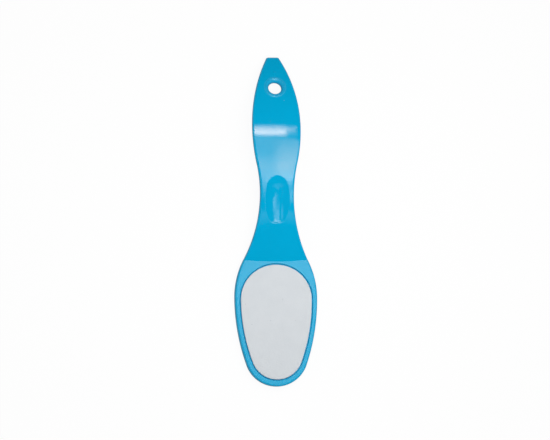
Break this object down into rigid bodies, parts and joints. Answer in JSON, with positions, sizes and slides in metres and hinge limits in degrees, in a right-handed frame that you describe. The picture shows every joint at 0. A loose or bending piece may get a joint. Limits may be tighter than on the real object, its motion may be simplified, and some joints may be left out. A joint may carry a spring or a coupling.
{
  "type": "foot file",
  "caption": "Foot file with an arched paddle handle, a thumb scoop, a hang hole and an oval head that holds an abrasive pad on each face.",
  "frame": {"origin": "on the table under the middle of the plan, level with the back pad's flat face", "axes": "+Z out of the face with the thumb scoop, +Y from the head to the hang hole, +X to the right when the scooped face is seen with the hole at the top"},
  "size_m": [0.0628, 0.2508, 0.0237],
  "materials": {
    "handle_plastic": "glossy as moulded",
    "tape": "plain film",
    "foam": "cut closed-cell foam",
    "fine_abrasive": "fine grit under a pale anti-clog coat",
    "coarse_abrasive": "coarse grit"
  },
  "bodies": {
    "root": {"handle": "handle_plastic", "front_tape": "tape", "front_foam": "foam", "front_fine_sheet": "fine_abrasive", "back_tape": "tape", "back_foam": "foam", "back_coarse_sheet": "coarse_abrasive"}
  },
  "joints": []
}
